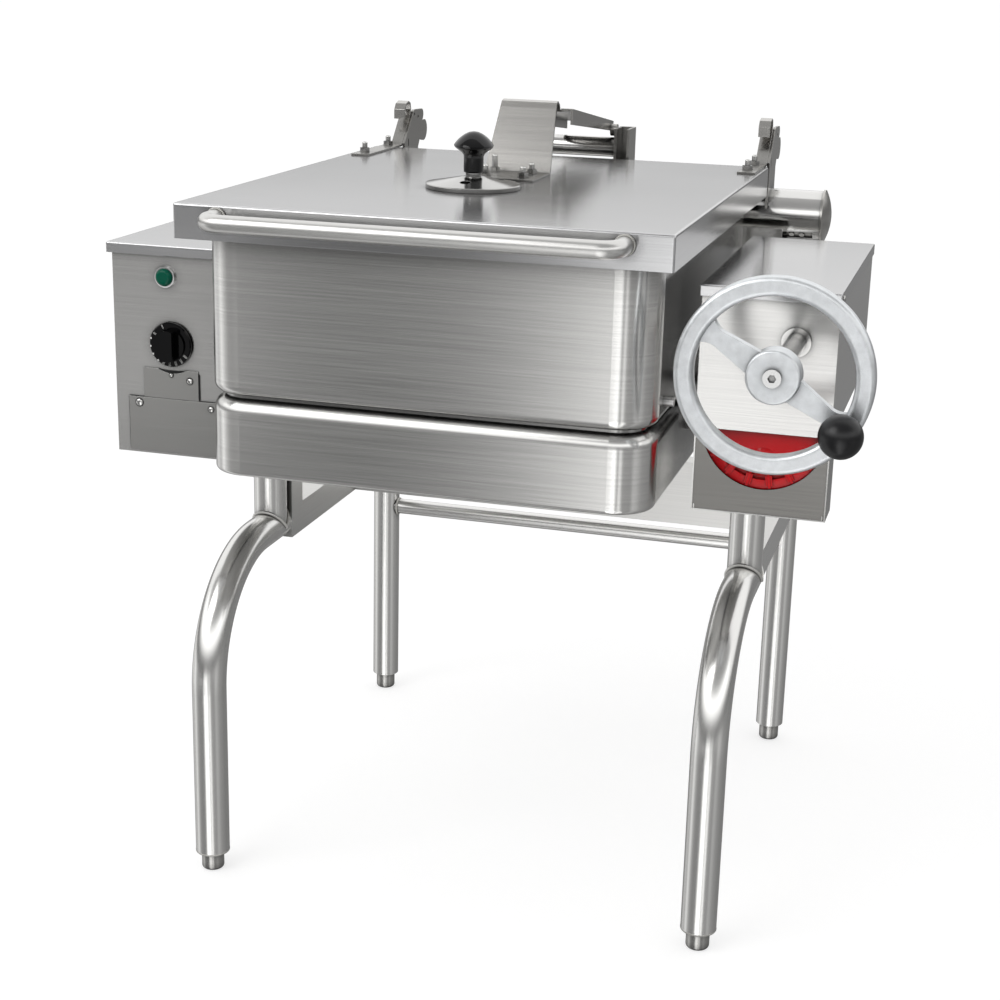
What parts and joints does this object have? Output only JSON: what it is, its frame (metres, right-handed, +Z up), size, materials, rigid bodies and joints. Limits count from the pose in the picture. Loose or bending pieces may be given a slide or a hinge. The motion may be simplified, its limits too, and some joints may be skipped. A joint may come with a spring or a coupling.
{
  "type": "tilting skillet",
  "caption": "Jacketed rectangular cooking pan with a hinged lid, tilted forward on a pipe stand by a hand wheel and worm drive, with dial and pilot lamp on a side console.",
  "frame": {"origin": "on the floor, at the middle of the whole object's footprint", "axes": "+X to the right along the pan's front, +Y to the back, +Z up; the handle, hand wheel and dial look towards -Y"},
  "size_m": [1.0284, 1.0082, 1.0766],
  "materials": {
    "pan_steel": "satin",
    "jacket_steel": "brushed",
    "lid_steel": "brushed",
    "console_steel": "brushed",
    "plate_steel": "brushed",
    "pipe_steel": "satin",
    "rail_steel": "brushed",
    "tube_steel": "polished",
    "vent_steel": "satin",
    "foot_steel": "satin",
    "machined_steel": "satin",
    "bolt_steel": "polished",
    "element_metal": "matte",
    "cast_aluminium": "satin",
    "bronze": "satin",
    "red_paint": "gloss",
    "bezel_chrome": "polished",
    "lamp_lens": "gloss",
    "black_plastic": "gloss",
    "dial_plastic": "gloss",
    "grey_plastic": "matte",
    "gland_plastic": "matte",
    "insulation": "matte"
  },
  "bodies": {
    "frame": {"gear_housing": "red_paint", "gear_cover": "red_paint", "housing_bolts": "bolt_steel", "shaft_bushes": "machined_steel", "left_console_body": "console_steel", "left_console_lid": "console_steel", "right_console_hood": "console_steel", "right_console_lid": "console_steel", "right_console_apron": "console_steel", "service_plate": "plate_steel", "dial_guard": "plate_steel", "panel_screws": "bolt_steel", "lamp_bezel": "bezel_chrome", "lamp_lens": "lamp_lens", "thermostat": "grey_plastic", "contactor": "grey_plastic", "cable_gland": "gland_plastic", "left_bearing": "machined_steel", "leg_sockets": "machined_steel", "front_stubs": "pipe_steel", "rear_legs": "pipe_steel", "side_rails": "rail_steel", "rear_cross_pipe": "pipe_steel", "cross_channel": "rail_steel", "front_leg_left": "pipe_steel", "front_leg_right": "pipe_steel", "pedestal_left": "rail_steel", "pedestal_right": "rail_steel"},
    "pan": {"pan_vessel": "pan_steel", "pan_jacket": "jacket_steel", "base_jacket": "jacket_steel", "insulation": "insulation", "heating_elements": "element_metal", "trunnion_left": "machined_steel", "trunnion_right": "machined_steel", "stop_pin": "machined_steel", "hinge_shelf": "jacket_steel", "tube_bearings": "machined_steel", "worm_wheel": "bronze"},
    "lid": {"lid_shell": "lid_steel", "lid_handle": "pipe_steel", "hinge_brackets": "lid_steel", "middle_bracket": "lid_steel", "lid_bolts": "bolt_steel", "lift_arm": "lid_steel", "clevis": "lid_steel", "lift_spring": "machined_steel", "torque_tube": "tube_steel", "tube_caps": "tube_steel"},
    "vent": {"vent_disc": "vent_steel", "vent_knob": "black_plastic"},
    "hand_wheel": {"worm_shaft": "machined_steel", "hand_wheel": "cast_aluminium", "hub_screw": "bolt_steel", "ball_knob": "black_plastic"},
    "dial": {"temperature_dial": "dial_plastic"},
    "foot_front_left": {"front_foot_left": "foot_steel"},
    "foot_front_right": {"front_foot_right": "foot_steel"},
    "foot_rear_left": {"rear_foot_left": "foot_steel"},
    "foot_rear_right": {"rear_foot_right": "foot_steel"}
  },
  "joints": [
    {"name": "pan_tilt", "type": "hinge", "parent": "frame", "child": "pan", "pos_m": [-0.02825, -0.12312, 0.74], "axis": [1, 0, 0], "range_deg": [0, 90]},
    {"name": "hand_wheel_turn", "type": "hinge", "parent": "frame", "child": "hand_wheel", "pos_m": [0.40175, -0.45012, 0.835], "axis": [0, 1, 0], "range_deg": [0, 3600]},
    {"name": "lid_open", "type": "hinge", "parent": "pan", "child": "lid", "pos_m": [-0.02825, 0.36188, 0.905], "axis": [-1, 0, 0], "range_deg": [0, 80]},
    {"name": "vent_turn", "type": "hinge", "parent": "lid", "child": "vent", "pos_m": [-0.04725, -0.11713, 0.98], "axis": [0, 0, 1], "range_deg": [0, 60]},
    {"name": "dial_turn", "type": "hinge", "parent": "frame", "child": "dial", "pos_m": [-0.42475, -0.24213, 0.7655], "axis": [0, 1, 0], "range_deg": [0, 270]},
    {"name": "foot_front_left_height", "type": "slide", "parent": "frame", "child": "foot_front_left", "axis": [0, 0, -1], "range_m": [0, 0.02]},
    {"name": "foot_front_right_height", "type": "slide", "parent": "frame", "child": "foot_front_right", "axis": [0, 0, -1], "range_m": [0, 0.02]},
    {"name": "foot_rear_left_height", "type": "slide", "parent": "frame", "child": "foot_rear_left", "axis": [0, 0, -1], "range_m": [0, 0.02]},
    {"name": "foot_rear_right_height", "type": "slide", "parent": "frame", "child": "foot_rear_right", "axis": [0, 0, -1], "range_m": [0, 0.02]}
  ],
  "couplings": [
    {"joint": "hand_wheel_turn", "follows": "pan_tilt", "ratio": 40}
  ]
}
